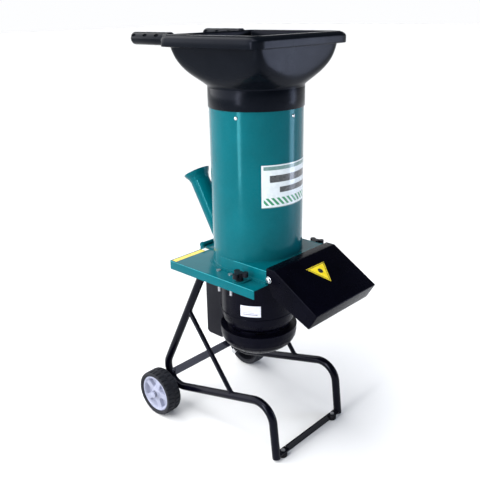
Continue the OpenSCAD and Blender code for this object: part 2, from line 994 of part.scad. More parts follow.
module motor_bolts() {
    color([0.7, 0.71, 0.73])
        for (a = [45 : 90 : 315])
            rotate([0, 0, a])
                translate([motor_bolt_r, 0, 0]) {
                    translate([0, 0, 538])
                        cylinder(r = 4, h = deck_z - 538 + 1);
                    translate([0, 0, deck_z + 0.02])
                        cylinder(r = 7, h = 2.6);
                    translate([0, 0, 537])
                        cylinder(r = 7.5, h = 6.9, $fn = 6);
                }
}

module motor_frame() {
    color([0.5, 0.5, 0.52])
        z_ring(shield_z + 12.02, 543.98, stator_r + 10, stator_r + 0.05);
}

module stator() {
    color([0.55, 0.35, 0.22])
        union() {
            z_ring(400, 500, stator_r, core_r + 0.6);
            z_ring(384, 516, 68, 46);
        }
}

module end_shield() {
    color([0.5, 0.5, 0.52])
        difference() {
            union() {
                translate([0, 0, shield_z])
                    cylinder(r = stator_r + 10, h = 12);
                translate([0, 0, shield_z])
                    cylinder(r = 34, h = 28);
            }
            translate([0, 0, shield_z + 12])
                cylinder(r = 26.05, h = 30);
            translate([0, 0, shield_z - 10])
                cylinder(r = 15, h = 60);
        }
}

module bearings() {
    color([0.7, 0.7, 0.72])
        for (z = [528, shield_z + 12.05])
            z_ring(z, z + 14.9, 26, shaft_r + shaft_play);
}

module motor_cover() {
    ms = motor_seam_z;
    ml = motor_low_z;
    color([0.06, 0.06, 0.07])
        difference() {
            rotate_extrude()
                polygon([[0, ml], [92, ml], [103, ml + 4], [110, ml + 13], [114, ml + 26],
                         [motor_r, ms], [motor_r, deck_low - 0.05], [motor_r - 2.5, deck_low - 0.05],
                         [motor_r - 2.5, ms], [111.4, ml + 27], [107.6, ml + 15], [101.5, ml + 6.5],
                         [91.5, ml + 2.5], [0, ml + 2.5]]);
            translate([0, 0, ml - 5])
                cylinder(r = 18, h = 20);
            for (k = [0 : 11])
                rotate([0, 0, 30 * k])
                    translate([45, -3.5, ml - 5])
                        cube([38, 7, 12]);
        }
}

module fan_cover() {
    fl = fan_low_z;
    fh = motor_low_z - 10;
    color([0.06, 0.06, 0.07])
        difference() {
            union() {
                rotate_extrude()
                    polygon([[0, fl], [50, fl + 2], [75, fl + 8], [90, fl + 14.5], [103, fl + 24],
                             [112, fl + 34], [118.5, fl + 47], [121, fl + 62], [121, fh], [97, fh],
                             [97, fh - 2.5], [118.5, fh - 2.5], [118.5, fl + 62], [116.1, fl + 48],
                             [109.9, fl + 35.6], [101.4, fl + 26.2], [88.9, fl + 17],
                             [74.4, fl + 10.4], [49.8, fl + 4.5], [0, fl + 2.5]]);
                z_ring(fh - 0.1, motor_low_z - 0.05, 100, 97);
            }
            for (k = [0 : 15])
                rotate([0, 0, 22.5 * k])
                    translate([26, -3, fl - 8])
                        cube([46, 6, 20]);
            for (k = [0 : 7])
                rotate([0, 0, 45 * k])
                    translate([90, -16, fh + 2.5])
                        cube([20, 32, 5]);
        }
}

module motor_label() {
    color([0.9, 0.9, 0.92])
        translate([0, 0, 408])
            rotate([0, 0, -75.5])
                rotate_extrude(angle = 31)
                    translate([motor_r + 0.02, 0])
                        square([0.5, 36]);
}

// ---- switch box ----
module switch_box() {
    low_z = box_z0 + 14;
    low_x = box_x0 + 11;
    color([0.06, 0.06, 0.07])
        difference() {
            union() {
                translate([box_x0, -box_y, low_z])
                    cube([-94 - box_x0, 2 * box_y, box_top - low_z]);
                translate([low_x, -box_y, box_z0])
                    cube([-94 - low_x, 2 * box_y, 14.1]);
                intersection() {
                    y_cyl(low_x, -box_y, box_y, low_z, 14);
                    translate([box_x0 - 10, -box_y - 1, box_z0 - 1])
                        cube([30, 2 * box_y + 2, 15.05]);
                }
            }
            translate([box_x0 - 5, -box_y + 3, low_z + 3])
                cube([box_x1 - box_x0 + 5, 2 * (box_y - 3), box_top - low_z - 6]);
            translate([low_x, -box_y + 3, box_z0 + 5])
                cube([box_x1 - low_x, 2 * (box_y - 3), 20]);
            y_cyl(low_x, -box_y + 3, box_y - 3, low_z, 9);
            translate([0, 0, box_z0 - 10])
                cylinder(r = motor_r + 0.05, h = 300);
            translate([0, 0, box_z0 - 10])
                cylinder(r = 121.3, h = motor_low_z + 3 - box_z0);
        }
}

module box_cover() {
    color([0.07, 0.07, 0.08])
        difference() {
            translate([box_x0 - 3.05, -box_y, box_z0 + 14.1])
                cube([3, 2 * box_y, box_top - box_z0 - 14.1]);
            translate([box_x0 - 10, -17, 452])
                cube([20, 34, 66]);
            x_cyl(box_x0 - 10, box_x0 + 10, 0, 335, 17.5);
        }
}

module capacitor() {
    color([0.75, 0.75, 0.77])
        for (y = [-38, 38])
            translate([box_x0 + 28.5, y, box_z0 + 5.05])
                cylinder(r = 17.9, h = 88);
}

module switch_body() {
    color([0.15, 0.15, 0.16])
        difference() {
            union() {
                translate([box_x0 - 3, -16.8, 452.2])
                    cube([30, 33.6, 65.6]);
                translate([box_x0 - 6, -21, 447])
                    cube([2.9, 42, 76]);
            }
            for (z = [469, 501])
                x_cyl(box_x0 - 10, box_x0 + 16, 0, z, 10.3);
        }
}

module button_at(z) {
    x_cyl(box_x0 - 11, box_x0 + 8, 0, z, 10);
}

module button_start() {
    color([0.05, 0.5, 0.15])
        button_at(501);
}

module button_stop() {
    color([0.75, 0.05, 0.05])
        button_at(469);
}

module power_inlet() {
    color([0.08, 0.08, 0.09])
        difference() {
            union() {
                x_cyl(box_x0 - 24, box_x0 + 14, 0, 335, 17);
                x_cyl(box_x0 - 6, box_x0 - 3.1, 0, 335, 23);
            }
            difference() {
                x_cyl(box_x0 - 30, box_x0 - 2, 0, 335, 14.5);
                for (k = [0 : 2])
                    x_cyl(box_x0 - 20, box_x0, 7 * cos(120 * k + 90), 335 + 7 * sin(120 * k + 90), 2.4);
            }
        }
}

// ---- build ----
side_frame_right();
side_frame_left();
braces();
rear_crossbar();
front_bar();
axle_brackets();
stub_axles();
axle_caps();
wheel_hub_right();
wheel_hub_left();
tyre_right();
tyre_left();
rubber_feet();
foot_bolts();
leg_plugs();
deck();
deck_bolts();
hinge_bracket();
hinge_pin();
clamp_nuts();
deck_label();
tower_tube();
tower_flange();
outlet_duct();
branch_pipe();
hopper();
handle_grips();
tower_screws();
tower_label();
counter_blade();
star_knob_right();
star_knob_left();
knob_stud_right();
knob_stud_left();
deflector();
deflector_bolts();
warning_label();
rotor_disc();
paddles();
knife_bar();
rotor_bolt();
motor_shaft();
rotor_core();
cooling_fan();
motor_flange();
motor_bolts();
motor_frame();
stator();
end_shield();
bearings();
motor_cover();
fan_cover();
motor_label();
switch_box();
box_cover();
capacitor();
switch_body();
power_inlet();
button_start();
button_stop();
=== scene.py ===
"""Looks of the wood chipper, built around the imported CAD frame. Metres, +Z up, +X to the discharge."""

import math

import bmesh
import bpy
from mathutils import Matrix, Vector


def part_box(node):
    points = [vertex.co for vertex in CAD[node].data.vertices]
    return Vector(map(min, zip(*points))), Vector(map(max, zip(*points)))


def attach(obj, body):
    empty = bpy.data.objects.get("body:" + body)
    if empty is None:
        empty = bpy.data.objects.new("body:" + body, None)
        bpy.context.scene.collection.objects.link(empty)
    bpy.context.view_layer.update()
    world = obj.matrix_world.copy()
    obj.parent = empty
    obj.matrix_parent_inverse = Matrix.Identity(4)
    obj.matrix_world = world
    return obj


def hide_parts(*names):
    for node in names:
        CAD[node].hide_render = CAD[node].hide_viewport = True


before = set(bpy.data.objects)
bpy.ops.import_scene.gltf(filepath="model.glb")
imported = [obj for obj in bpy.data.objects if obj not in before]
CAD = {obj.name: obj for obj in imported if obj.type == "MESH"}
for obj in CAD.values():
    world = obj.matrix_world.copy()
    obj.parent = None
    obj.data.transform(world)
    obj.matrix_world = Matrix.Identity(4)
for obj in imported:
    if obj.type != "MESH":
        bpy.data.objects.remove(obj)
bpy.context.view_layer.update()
TAU = 2 * math.pi
TOWER_R = 0.135     # outside of the tower's tube


# ---------------------------------------------------------------- materials
class Graph:
    """A small helper that adds nodes to one material."""

    def __init__(self, name):
        self.mat = bpy.data.materials.new(name)
        self.mat.use_nodes = True
        self.tree = self.mat.node_tree
        self.bsdf = self.tree.nodes["Principled BSDF"]
        self.coord = self.add("ShaderNodeTexCoord").outputs["Object"]

    def add(self, kind, **values):
        node = self.tree.nodes.new(kind)
        for key, value in values.items():
            setattr(node, key, value)
        return node

    def link(self, a, b):
        self.tree.links.new(a, b)

    def feed(self, socket, value):
        """A number or a colour is set on the socket; another node's output is linked to it."""
        if isinstance(value, tuple):
            socket.default_value = (*value, 1)
        elif isinstance(value, (int, float)):
            socket.default_value = value
        else:
            self.link(value, socket)

    def shader(self, **inputs):
        """Feeds the shader's sockets; an underscore stands for a space in a socket's name."""
        for name, value in inputs.items():
            self.feed(self.bsdf.inputs[name.replace("_", " ")], value)

    def noise(self, scale, detail=4.0, rough=0.55, stretch=None, dist=0.0):
        node = self.add("ShaderNodeTexNoise")
        for key, value in (("Scale", scale), ("Detail", detail), ("Roughness", rough), ("Distortion", dist)):
            node.inputs[key].default_value = value
        source = self.coord
        if stretch:
            place = self.add("ShaderNodeMapping")
            place.inputs["Scale"].default_value = stretch
            self.link(self.coord, place.inputs["Vector"])
            source = place.outputs["Vector"]
        self.link(source, node.inputs["Vector"])
        return node.outputs["Fac"]

    def ramp(self, fac, stops):
        """Blends two stops, each a position and a colour or a grey level."""
        node = self.add("ShaderNodeValToRGB")
        for element, (position, value) in zip(node.color_ramp.elements, stops):
            element.position = position
            element.color = (*value, 1) if isinstance(value, tuple) else (value, value, value, 1)
        self.link(fac, node.inputs["Fac"])
        return node.outputs["Color"]

    def mix(self, fac, a, b):
        node = self.add("ShaderNodeMix", data_type="RGBA")
        for key, value in (("Factor", fac), ("A", a), ("B", b)):
            self.feed([s for s in node.inputs if s.name == key and s.enabled][0], value)
        return [s for s in node.outputs if s.enabled][0]

    def math(self, op, a, b=0.0, clamp=False):
        node = self.add("ShaderNodeMath", operation=op, use_clamp=clamp)
        for socket, value in zip(node.inputs, (a, b)):
            self.feed(socket, value)
        return node.outputs[0]

    def bump(self, height, strength, distance):
        node = self.add("ShaderNodeBump")
        node.inputs["Strength"].default_value = strength
        node.inputs["Distance"].default_value = distance
        self.link(height, node.inputs["Height"])
        self.link(node.outputs["Normal"], self.bsdf.inputs["Normal"])

    def axis(self, name):
        node = self.add("ShaderNodeSeparateXYZ")
        self.link(self.coord, node.inputs[0])
        return node.outputs[name]

    def wear_and_sheen(self, amount):
        """Bright where the mesh turns sharply, broken up by noise: rubbed edges, and a painted highlight
        along folds.
        """
        point = self.add("ShaderNodeNewGeometry").outputs["Pointiness"]
        edge = self.ramp(point, [(0.53, 0.0), (0.62, 1.0)])
        return self.math("MULTIPLY", self.math("MULTIPLY", edge, self.noise(160, 5)), amount, True)


def shade(color, factor, lift=0.0):
    """The colour made darker or lighter, with an even lift."""
    return tuple(min(1, c * factor + lift) for c in color)


def painted(name, color, rough, coat, wear_sheen_amount, level, tint, flake=0.2):
    """Sprayed metal with orange peel, uneven tone, and edges lighter from rubbing and from a painted
    highlight.
    """
    g = Graph(name)
    spread = flake * 2.2
    tone = g.ramp(g.noise(7, 5, 0.6), [(0.3, shade(color, 1 - spread)), (0.7, shade(color, 1 + spread))])
    # edges lighter: rubbed paint, and a painted highlight along the folds
    tone = g.mix(g.wear_and_sheen(wear_sheen_amount), tone, shade(color, 1.5, 0.10))
    gloss = g.ramp(g.noise(26, 6, 0.65), [(0.25, rough * 0.8), (0.8, min(1, rough * 1.3))])
    g.shader(Base_Color=tone, Roughness=gloss, Specular_IOR_Level=level, Specular_Tint=tint,
             Coat_Weight=coat, Coat_Tint=tint, Coat_Roughness=max(0.03, rough * 0.3))
    g.bump(g.noise(420, 2, 0.4), 0.08, 0.0006)
    return g.mat


def plastic(name, color, rough, grain=900, depth=0.12, coat=0.0, wear_sheen_amount=0.15, level=0.5,
            tint=(1, 1, 1), scuffs=0.10):
    """Moulded plastic with a fine grain, flow marks, scuffs, and edges lighter from rubbing and from a
    painted highlight.
    """
    g = Graph(name)
    flow = g.noise(9, 6, 0.6, dist=0.5)
    tone = g.ramp(flow, [(0.25, shade(color, 0.82)), (0.75, shade(color, 1.18, 0.001))])
    scuff = g.ramp(g.noise(70, 9, 0.75, stretch=(1, 1, 0.35)), [(0.62, 0.0), (0.85, scuffs)])
    tone = g.mix(scuff, tone, shade(color, 1.6, 0.04))
    # edges lighter: rubbed plastic, and a painted highlight along the folds
    tone = g.mix(g.wear_and_sheen(wear_sheen_amount), tone, shade(color, 1.8, 0.05))
    gloss = g.ramp(g.noise(32, 6, 0.6), [(0.25, rough * 0.85), (0.8, min(1, rough * 1.2))])
    g.shader(Base_Color=tone, Roughness=gloss, Specular_IOR_Level=level, Specular_Tint=tint,
             Coat_Weight=coat, Coat_Roughness=max(0.05, rough * 0.5))
    g.bump(g.noise(grain, 3, 0.6), depth, 0.0005)
    return g.mat


def metal(name, color, rough, lines=None, depth=0.15):
    """Bare or plated metal with turning lines and faint staining."""
    g = Graph(name)
    fine = g.noise(260, 6, 0.7, stretch=lines)
    dull = shade(color, 0.75)
    tone = g.ramp(g.noise(18, 6, 0.65), [(0.3, dull), (0.7, color)])
    tone = g.mix(g.math("MULTIPLY", fine, 0.25), tone, dull)
    gloss = g.ramp(fine, [(0.3, rough * 0.8), (0.75, min(1, rough * 1.5))])
    g.shader(Base_Color=tone, Metallic=1.0, Roughness=gloss)
    g.bump(fine, depth, 0.0004)
    return g.mat


def rubber(name, color, rough):
    """Matt rubber with a little dust in its pores."""
    g = Graph(name)
    tone = g.ramp(g.noise(40, 8, 0.7), [(0.3, shade(color, 0.75)), (0.75, shade(color, 1.3, 0.002))])
    dust = g.ramp(g.noise(16, 6, 0.7, dist=0.6), [(0.55, 0.0), (0.85, 0.08)])
    tone = g.mix(dust, tone, (0.13, 0.128, 0.13))
    gloss = g.ramp(g.noise(90, 5), [(0.3, rough * 0.85), (0.7, min(1, rough * 1.15))])
    g.shader(Base_Color=tone, Roughness=gloss, Specular_IOR_Level=0.16)
    g.bump(g.noise(700, 4, 0.7), 0.25, 0.0006)
    return g.mat


# Reflections are tinted, so that the white floor doesn't wash out the dark paints
COOL = (0.72, 0.76, 1.0)
WET = (0.22, 0.88, 1.0)
TEAL = (0.0, 0.080, 0.100)
BLUE_BLACK = (0.001, 0.001, 0.003)
MAT = {
    "teal": painted("teal_paint", TEAL, 0.14, coat=0.0, wear_sheen_amount=0.06, level=0.17, tint=WET, flake=0.06),
    # a lighter teal for the beads along the folds: painted highlight
    "teal_fold_highlight": painted("teal_fold_highlight", (0.02, 0.24, 0.28), 0.2, coat=0.1, wear_sheen_amount=0.0, level=0.3, tint=WET,
                         flake=0.06),
    "frame": painted("frame_paint", BLUE_BLACK, 0.18, coat=0.03, wear_sheen_amount=0.03, level=0.10, tint=COOL),
    "deflector": painted("deflector_paint", BLUE_BLACK, 0.26, coat=0.0, wear_sheen_amount=0.0, level=0.04, tint=COOL),
    "bar": painted("bar_paint", (0.003, 0.003, 0.006), 0.22, coat=0.5, wear_sheen_amount=0.1, level=0.5, tint=COOL),
    "cover": painted("cover_paint", (0.0015, 0.0015, 0.004), 0.28, coat=0.0, wear_sheen_amount=0.0, level=0.06, tint=COOL),
    "hopper": plastic("hopper_plastic", (0.002, 0.003, 0.005), 0.24, grain=700, depth=0.05,
                      level=0.065, tint=COOL, scuffs=0.0, wear_sheen_amount=0.0),
    "black": plastic("black_plastic", (0.004, 0.004, 0.006), 0.42, grain=1100, depth=0.2, level=0.14,
                     tint=COOL, scuffs=0.02),
    "hub": plastic("hub_plastic", (0.24, 0.255, 0.345), 0.42, depth=0.05, wear_sheen_amount=0.0),
    "tyre": rubber("tyre_rubber", (0.009, 0.010, 0.014), 0.60),
    "rubber": rubber("foot_rubber", (0.008, 0.008, 0.009), 0.7),
    "zinc": metal("zinc_plate", (0.72, 0.73, 0.76), 0.22),
    "bolt": metal("bolt_plate", (0.42, 0.43, 0.46), 0.34),
    "blade": metal("blade_steel", (0.60, 0.61, 0.63), 0.25, lines=(1, 14, 1)),
    "rotor": metal("rotor_steel", (0.42, 0.42, 0.44), 0.34, lines=(1, 1, 8)),
    "iron": metal("core_iron", (0.24, 0.24, 0.25), 0.45, lines=(1, 1, 30)),
    "cast": metal("motor_casting", (0.52, 0.53, 0.55), 0.5, depth=0.35),
    "can": metal("can_metal", (0.70, 0.70, 0.72), 0.28, lines=(1, 1, 0.1)),
    "copper": metal("winding", (0.55, 0.22, 0.08), 0.35, lines=(1, 1, 26), depth=0.6),
    "green": plastic("green_button", (0.01, 0.26, 0.05), 0.3, coat=0.3),
    "red": plastic("red_button", (0.50, 0.012, 0.012), 0.3, coat=0.3),
}


def put(material, *names):
    """A carried-over CAD node takes a material and smooth shading with crisp edges."""
    for name in names:
        obj = CAD[name]
        obj.data.materials.clear()
        obj.data.materials.append(material)
        soften(obj.data)


def soften(mesh, angle=32):
    for poly in mesh.polygons:
        poly.use_smooth = True
    mesh.set_sharp_from_angle(angle=math.radians(angle))


# ---------------------------------------------------------------- mesh helpers
WELD_GAP = 2e-6    # corners nearer than this are one corner
ON_FACE = 1e-4     # an edge this near to a face of the box lies on it
ON_CORNER = 3e-4   # a corner this near to a point of the outline is that point
SHARP = 25         # degrees from which an edge is rounded


def new_object(name, bm, material, angle=32):
    mesh = bpy.data.meshes.new(name)
    bm.normal_update()
    bm.to_mesh(mesh)
    bm.free()
    obj = bpy.data.objects.new(name, mesh)
    bpy.context.scene.collection.objects.link(obj)
    mesh.materials.append(material)
    soften(mesh, angle)
    return obj


def finish_piece(obj, body, slot, *replaced):
    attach(obj, body)
    if replaced:
        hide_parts(*replaced)
    return obj


def clean_copy(node):
    """A welded copy of a CAD node's mesh with its flat faces made whole again."""
    bm = bmesh.new()
    bm.from_mesh(CAD[node].data)
    bmesh.ops.remove_doubles(bm, verts=bm.verts, dist=WELD_GAP)
    bmesh.ops.dissolve_limit(bm, angle_limit=math.radians(1.0), verts=bm.verts, edges=bm.edges,
                             use_dissolve_boundaries=False)
    return bm


def bevelled(node, body, slot, material, width, segments, pick=None):
    """A CAD node with rounded edges; pick chooses edges by their middle and the node's box."""
    bm = clean_copy(node)
    low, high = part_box(node)
    chosen = []
    for edge in bm.edges:
        if len(edge.link_faces) != 2 or edge.calc_length() < width * 1.2:
            continue
        if math.degrees(edge.calc_face_angle(0)) < SHARP:
            continue
        if pick is None or pick(edge, low, high):
            chosen.append(edge)
    bmesh.ops.bevel(bm, geom=chosen, offset=width, segments=segments, profile=0.5,
                    affect="EDGES", clamp_overlap=True)
    obj = new_object(node + "_look", bm, material, 40)
    return finish_piece(obj, body, slot, node)


def outer_edges(skip_bottom=False, skip_top=False):
    """Edges that lie on the node's box along at least two axes."""
    def pick(edge, low, high):
        mid = (edge.verts[0].co + edge.verts[1].co) / 2
        if skip_bottom and abs(mid.z - low.z) < ON_FACE:
            return False
        if skip_top and abs(mid.z - high.z) < ON_FACE:
            return False
        hits = sum(min(abs(mid[i] - low[i]), abs(mid[i] - high[i])) < ON_FACE for i in range(3))
        return hits >= 2
    return pick


def fold_edges(points, half):
    """Edges of a folded sheet's outline, given in (x, z), and the folds across it."""
    def which(vert):
        x, y, z = vert.co
        for i, (px, pz) in enumerate(points):
            if abs(x - px) < ON_CORNER and abs(z - pz) < ON_CORNER and abs(abs(y) - half) < ON_CORNER:
                return i
        return None

    def pick(edge, low, high):
        a, b = which(edge.verts[0]), which(edge.verts[1])
        if a is None or b is None:
            return False
        return abs(a - b) == 1 or (a == b and 0 < a < len(points) - 1)
    return pick


def smooth_curve(points, steps):
    """Catmull-Rom through the points, so a profile has no corners."""
    out = []
    for i in range(len(points) - 1):
        p0 = points[max(i - 1, 0)]
        p1, p2 = points[i], points[i + 1]
        p3 = points[min(i + 2, len(points) - 1)]
        for k in range(steps):
            t = k / steps
            out.append(tuple(
                0.5 * (2 * b + (c - a) * t + (2 * a - 5 * b + 4 * c - d) * t * t
                       + (3 * b - a - 3 * c + d) * t ** 3)
                for a, b, c, d in zip(p0, p1, p2, p3)))
    out.append(tuple(points[-1]))
    return out


def circle(place, r, z, count):
    """Points on a ring round the local Z axis; a radius of 0 gives one point."""
    if r < 1e-7:
        return [place @ Vector((0, 0, z))]
    turns = [TAU * k / count for k in range(count)]
    return [place @ Vector((r * math.cos(a), r * math.sin(a), z)) for a in turns]


def bridge(bm, a, b):
    """Joins two rings with quads, or with triangles where one ring is a single point."""
    count = max(len(a), len(b))
    for k in range(count):
        j = (k + 1) % count
        corners = dict.fromkeys((a[k % len(a)], a[j % len(a)], b[j % len(b)], b[k % len(b)]))
        if len(corners) > 2:
            bm.faces.new(list(corners))


def loft(bm, rings, closed=True):
    """Joins rings of points in order; closed also joins the last to the first."""
    rows = [[bm.verts.new(p) for p in ring] for ring in rings]
    for a, b in zip(rows, rows[1:]):
        bridge(bm, a, b)
    if closed:
        bridge(bm, rows[-1], rows[0])
    return rows


def lathe(bm, profile, count, place=Matrix.Identity(4), closed=False):
    """Turns an (r, z) profile in metres round the local Z axis."""
    loft(bm, [circle(place, r, z, count) for r, z in profile], closed)


def boolean_cut(obj, cutter):
    """Takes the cutter away from the piece and removes it."""
    mod = obj.modifiers.new("cut", "BOOLEAN")
    mod.operation = "DIFFERENCE"
    mod.solver = "EXACT"
    mod.object = cutter
    deps = bpy.context.evaluated_depsgraph_get()
    mesh = bpy.data.meshes.new_from_object(obj.evaluated_get(deps))
    obj.modifiers.clear()
    old = obj.data
    obj.data = mesh
    bpy.data.meshes.remove(old)
    bpy.data.objects.remove(cutter)


# ---------------------------------------------------------------- hopper
RING = 192              # points round the hopper
NECK_R, THROAT_R = 0.1327, 0.1296
NECK_Z = 0.9885
COLLAR_R = 0.1377
# Rows of the bowl: height, half width across the sides, and reach towards the corners
BOWL = [(1.079, 0.1375, 0.1375), (1.083, 0.1392, 0.142), (1.090, 0.1445, 0.1515), (1.101, 0.1505, 0.1675),
        (1.112, 0.154, 0.1825), (1.123, 0.1563, 0.1945), (1.133, 0.158, 0.2035), (1.144, 0.1595, 0.2115),
        (1.155, 0.161, 0.2175), (1.165, 0.162, 0.2215), (1.176, 0.163, 0.225), (1.190, 0.1645, 0.2285),
        (1.207, 0.166, 0.2315)]
BOWL_Z, BOWL_RISE = 1.080, 0.135
BOWL_HALF = 0.1662      # half width of the bowl's top
BOWL_SHIFT, BOWL_WIDEN = -0.008, 0.007
BOWL_WALL, BOWL_FLOOR = 0.0036, 0.001
RIM_IN, RIM_OUT = 0.1626, 0.182     # half widths of the rim's inside and outside edges
RIM_STEP = 0.172                    # inside this half width the rim takes the smaller corners
RIM_SHIFT, RIM_WIDEN = 0.003, 0.007
RIM_TOP = 1.217
RIM_ROLL = 0.0155       # radius of the rim's rolled outer edge
RIM_BACK = -0.187
CORNER_R, INNER_CORNER_R = 0.026, 0.015
GRIP_R, GRIP_Y, GRIP_DROP = 0.0180, 0.145, 0.0135
SLOT_X = (-0.333, -0.282, -0.231)
SLOT_SIZE = (0.019, 0.013, 0.0085)
SLOT_OUT, SLOT_UP = 0.0145, 0.0095  # from the grip's middle line


def square_ring(half, diag, z):
    """A superellipse whose side is half and whose diagonal reach is diag."""
    n = 1 / max(0.012, 0.5 - math.log2(max(diag / half, 1.0)))
    out = []
    for k in range(RING):
        a = TAU * k / RING
        c, s = abs(math.cos(a)), abs(math.sin(a))
        r = half / (c ** n + s ** n) ** (1 / n)
        out.append(Vector((r * math.cos(a), r * math.sin(a), z)))
    return out


def corner_ring(half, corner, z):
    """A square with quarter-round corners, read at even angles."""
    out = []
    for k in range(RING):
        a = TAU * k / RING
        c, s = math.cos(a), math.sin(a)
        x, y = abs(c), abs(s)
        flat = half - corner
        r = half / max(x, y)
        if min(x, y) * r > flat:
            b = flat * (x + y)
            r = b + math.sqrt(max(b * b - (2 * flat * flat - corner * corner), 0))
        out.append(Vector((r * c, r * s, z)))
    return out


def stretched(ring, start):
    """The bowl leans a little to the rear and widens sideways as it rises from its start."""
    out = []
    for p in ring:
        t = min(max((p.z - start) / BOWL_RISE, 0.0), 1.0)
        out.append(Vector((p.x + BOWL_SHIFT * t, p.y * (1 + BOWL_WIDEN * t / BOWL_HALF), p.z)))
    return out


def rim_ring(half, corner, z):
    """A rounded rectangle, shifted and widened more from the rim's inside edge to its outside."""
    w = min(max((half - RIM_IN) / (RIM_OUT - RIM_IN), 0.0), 1.0)
    shift = BOWL_SHIFT + RIM_SHIFT * w
    widen = BOWL_WIDEN + RIM_WIDEN * w
    return [Vector((p.x + shift, p.y * (half + widen) / half, z)) for p in corner_ring(half, corner, z)]


def build_hopper():
    """One shell: up the outside of neck, collar and bowl, over the rim, and down the inside."""
    bowl = smooth_curve(BOWL, 4)
    neck = [(NECK_R, NECK_Z), (NECK_R, 0.99), (NECK_R, 1.0198), (0.1340, 1.0203)]
    collar = [(0.1365, 1.0203), (0.1375, 1.0213), (COLLAR_R, 1.045), (COLLAR_R, 1.0735), (0.1370, 1.0745),
              (0.1370, 1.0760), (COLLAR_R, 1.0770)]
    throat = [(0.1335, 1.077), (THROAT_R, 1.06), (THROAT_R, 0.99), (0.1302, NECK_Z)]
    rim = [(0.1700, 1.2090), (0.1755, 1.2085), (0.1782, 1.2055), (0.1784, 1.1880), (0.1788, 1.1860),
           (0.1803, 1.1852), (0.1816, 1.1860), (RIM_OUT, 1.1880)]
    for k in range(9):
        a = math.radians(90 * k / 8)
        rim.append((RIM_OUT - RIM_ROLL + RIM_ROLL * math.cos(a), RIM_TOP - RIM_ROLL + RIM_ROLL * math.sin(a)))
    rim += [(0.1650, 1.2166), (0.1636, 1.2155), (0.1630, 1.2135)]

    rings = [square_ring(r, r, z) for r, z in neck + collar]
    rings += [stretched(square_ring(side, diag, z), BOWL_Z) for z, side, diag in bowl]
    rings += [rim_ring(half, CORNER_R if half > RIM_STEP else INNER_CORNER_R, z) for half, z in rim]
    for z, side, diag in reversed(bowl):
        side, diag = side - BOWL_WALL, diag - BOWL_WALL
        rings.append(stretched(square_ring(side, max(diag, side), z + BOWL_FLOOR), BOWL_Z + BOWL_FLOOR))
    rings += [square_ring(r, r, z) for r, z in throat]
    bm = bmesh.new()
    loft(bm, rings)
    obj = new_object("hopper_look", bm, MAT["hopper"], 50)
    return finish_piece(obj, "tower", "hopper_plastic", "hopper")


def slot_cutter(x, y, z):
    bm = bmesh.new()
    bmesh.ops.create_uvsphere(bm, u_segments=28, v_segments=16, radius=0.5)
    bmesh.ops.scale(bm, vec=SLOT_SIZE, verts=bm.verts)
    bmesh.ops.translate(bm, vec=(x, y, z), verts=bm.verts)
    return new_object("cut", bm, MAT["hopper"])


def build_grips():
    """Two turned grips behind the rim, each with three finger slots on both sides."""
    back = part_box("handle_grips")[0].x
    z = RIM_TOP - GRIP_DROP
    length = RIM_BACK - back - 0.0001
    profile = [(0, 0), (0.0100, 0), (0.0151, 0.0016), (0.0173, 0.0045), (GRIP_R, 0.009),
               (GRIP_R, length - 0.019), (0.0177, length - 0.017), (0.0177, length - 0.0155),
               (0.0184, length - 0.014), (0.0185, length), (0.0120, length), (0, length)]
    bm = bmesh.new()
    for side in (-1, 1):
        place = Matrix.Translation((back, side * GRIP_Y, z)) @ Matrix.Rotation(math.pi / 2, 4, "Y")
        lathe(bm, profile, 56, place)
    bmesh.ops.recalc_face_normals(bm, faces=bm.faces)
    obj = new_object("handle_grips_look", bm, MAT["hopper"], 35)
    for side in (-1, 1):
        for x in SLOT_X:
            for face in (-1, 1):
                boolean_cut(obj, slot_cutter(x, side * GRIP_Y + face * SLOT_OUT, z + SLOT_UP))
    soften(obj.data, 35)
    return finish_piece(obj, "tower", "hopper_plastic", "handle_grips")


# ---------------------------------------------------------------- wheels
DRAWN_TYRE_R = 0.073    # radius that the tread's profile is drawn for
DRAWN_HUB_R = 0.0598    # radius that the hub's relief is drawn for
SEAT_R = 0.0602         # where the tyre meets the hub
BLOCK_R, SHOULDER_R = 0.0718, 0.0712    # the full tread and the notched shoulder start here
BLOCKS = 30             # tread blocks on each shoulder
GROOVE_SHARE = 0.30     # share of a block's pitch that its groove takes
HUB_R, HUB_BORE = 0.0618, 0.0062
WINDOW_IN, WINDOW_OUT = 0.0215, 0.0505
SPOKES, SPOKE_HALF = 5, 0.0085
SLOPE = 0.004           # how far the relief's edges take to fall


def side_name(side):
    return "right" if side < 0 else "left"


def wheel_frame(side):
    """Maps the wheel's own axis, inner face at 0 and outer face up, to its place; also the width."""
    low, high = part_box("tyre_" + side_name(side))
    y = high.y if side < 0 else low.y
    place = Matrix.Translation(((low.x + high.x) / 2, y, (low.z + high.z) / 2))
    return place @ Matrix.Rotation(-side * math.pi / 2, 4, "X"), high.y - low.y


def tread_depth(r, z, width, turn):
    """How deep the tread cuts; its halves are half a block apart and their grooves lean."""
    inner_half = z < width / 2
    shift = 0.0 if inner_half else 0.5
    if r > BLOCK_R:
        lean = (z if inner_half else width - z) * 4.0
        phase = (turn * BLOCKS + shift + lean) % 1.0
        if phase < GROOVE_SHARE:
            return 0.0024
        return 0.0005 if phase < 0.36 or phase > 0.94 else 0.0
    if r > SHOULDER_R:
        return 0.0012 if (turn * BLOCKS + shift) % 1.0 < GROOVE_SHARE else 0.0
    return 0.0


